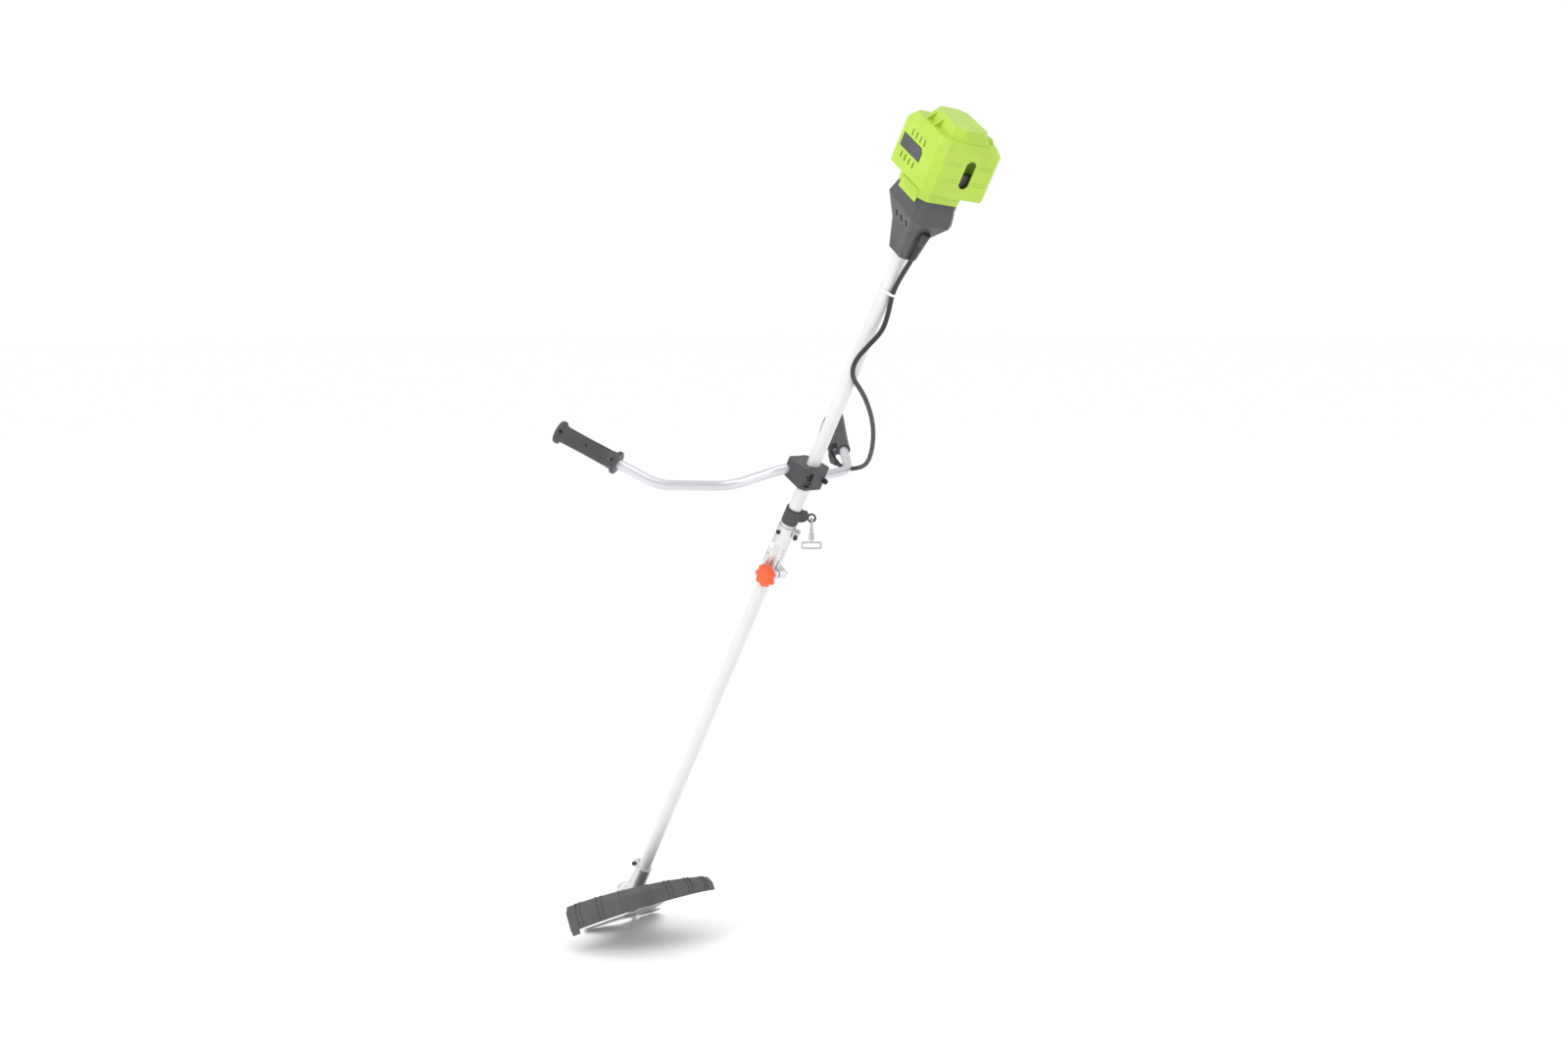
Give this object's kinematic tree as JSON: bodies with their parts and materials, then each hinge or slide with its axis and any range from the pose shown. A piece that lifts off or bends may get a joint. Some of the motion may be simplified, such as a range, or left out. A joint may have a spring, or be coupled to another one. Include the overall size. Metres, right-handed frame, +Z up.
{
  "type": "string trimmer",
  "caption": "Cordless brush cutter: bull-horn handlebar, split shaft with a knob coupler, bevel gear head, toothed metal blade, ribbed guard and an open battery hood.",
  "frame": {"origin": "centre of the harness ring, where the tool hangs, at the end of the harness clamp's arm", "axes": "+Z up in the working stance, +X to the operator's right, +Y forwards over the handlebar; the shaft leans by 31 degrees, with the motor high and the blade towards +Y"},
  "size_m": [0.7496, 1.0812, 1.7106],
  "materials": {
    "lime_plastic": "satin moulded",
    "charcoal_plastic": "fine moulded texture",
    "black_plastic": "fine moulded texture",
    "grey_plastic": "fine moulded texture",
    "shaft_white": "white powder coat",
    "bar_silver": "silver lacquer",
    "cast_aluminium": "cast, blasted",
    "steel": "zinc plated",
    "dark_screw": "blackened",
    "spring_steel": "bright",
    "blade_steel": "ground",
    "motor_iron": "laminated iron with varnished copper",
    "chrome_screw": "bright",
    "red_plastic": "gloss",
    "orange_plastic": "satin moulded",
    "cable_rubber": "matt",
    "white_nylon": "satin",
    "brass": "bright",
    "board_green": "lacquered"
  },
  "bodies": {
    "root": {"upper_tube": "shaft_white", "lower_tube": "shaft_white", "shaft_bushes": "white_nylon", "battery_hood": "lime_plastic", "hood_plate": "charcoal_plastic", "bay_tray": "lime_plastic", "terminal_block": "black_plastic", "terminal_blades": "brass", "motor_housing_left": "charcoal_plastic", "motor_housing_right": "charcoal_plastic", "housing_screws": "dark_screw", "motor_stator": "motor_iron", "motor_end_plates": "cast_aluminium", "motor_bearings": "steel", "control_board": "board_green", "cable_gland": "black_plastic", "handlebar": "bar_silver", "clamp_base": "black_plastic", "clamp_cap": "black_plastic", "clamp_bolts": "dark_screw", "left_grip_front": "black_plastic", "left_grip_rear": "black_plastic", "left_grip_screws": "dark_screw", "handle_shell_front": "black_plastic", "handle_shell_rear": "black_plastic", "lever_pin": "steel", "throttle_switch": "black_plastic", "handle_collar": "black_plastic", "collar_screw": "chrome_screw", "cable_boot": "black_plastic", "control_cable": "cable_rubber", "cable_tie": "white_nylon", "harness_clamp": "black_plastic", "coupler_body": "cast_aluminium", "locating_screw": "dark_screw", "gear_case": "cast_aluminium", "guard": "charcoal_plastic", "guard_bracket": "steel", "cap_screws": "dark_screw", "gear_bearings": "steel"},
    "drive_line": {"motor_rotor": "motor_iron", "upper_drive_shaft": "steel", "lower_drive_shaft": "steel", "shaft_sleeves": "steel", "pinion_gear": "steel"},
    "cutter": {"output_gear": "steel", "spindle": "steel", "upper_flange": "steel", "cutting_blade": "blade_steel", "lower_flange": "steel", "blade_nut": "steel"},
    "lever": {"throttle_lever": "grey_plastic"},
    "lock_off": {"lock_off_button": "red_plastic"},
    "power_key": {"power_button": "red_plastic"},
    "snap_button": {"release_pin": "steel", "pin_spring": "spring_steel"},
    "knob": {"coupler_knob": "orange_plastic"},
    "hook": {"carrier_hook": "steel"},
    "gate": {"hook_gate": "spring_steel"},
    "strap_loop": {"strap_swivel": "steel"}
  },
  "joints": [
    {"name": "blade_spin", "type": "hinge", "parent": "root", "child": "cutter", "pos_m": [-0.03377, 0.56059, -0.89512], "axis": [0, 0.4617, 0.887], "continuous": true},
    {"name": "motor_spin", "type": "hinge", "parent": "root", "child": "drive_line", "pos_m": [-0.03377, 0.56059, -0.89512], "axis": [0, -0.515, 0.8572], "continuous": true},
    {"name": "throttle_pull", "type": "hinge", "parent": "root", "child": "lever", "pos_m": [0.30415, 0.28857, 0.1587], "axis": [-0.5255, -0.1426, 0.8387], "range_deg": [0, 4.5], "stiffness_Nm_per_rad": 1.2, "springref_deg": -6.88},
    {"name": "lock_press", "type": "slide", "parent": "root", "child": "lock_off", "axis": [-0.5255, -0.1426, 0.8387], "range_m": [0, 0.003], "stiffness_N_per_m": 400, "springref_m": -0.001},
    {"name": "power_press", "type": "slide", "parent": "root", "child": "power_key", "axis": [-0.5255, -0.1426, 0.8387], "range_m": [0, 0.0015], "stiffness_N_per_m": 600, "springref_m": -0.001},
    {"name": "snap_press", "type": "slide", "parent": "root", "child": "snap_button", "axis": [1, 0, 0], "range_m": [0, 0.003], "stiffness_N_per_m": 900, "springref_m": -0.001},
    {"name": "knob_turn", "type": "hinge", "parent": "root", "child": "knob", "pos_m": [-0.05017, 0.06173, -0.11341], "axis": [1, 0, 0], "range_deg": [0, 720]},
    {"name": "hook_swing", "type": "hinge", "parent": "root", "child": "hook", "pos_m": [0, 0, 0], "axis": [0.5586, 0.8294, 0], "range_deg": [-50, 8]},
    {"name": "gate_open", "type": "hinge", "parent": "hook", "child": "gate", "pos_m": [0.00363, 0.00539, -0.0235], "axis": [0.8294, -0.5586, 0], "range_deg": [0, 28], "stiffness_Nm_per_rad": 0.01, "springref_deg": -11.46},
    {"name": "loop_swivel", "type": "hinge", "parent": "hook", "child": "strap_loop", "pos_m": [0, 0, -0.032], "axis": [0, 0, 1], "continuous": true}
  ],
  "couplings": [
    {"joint": "motor_spin", "follows": "blade_spin", "ratio": -1.3333}
  ]
}
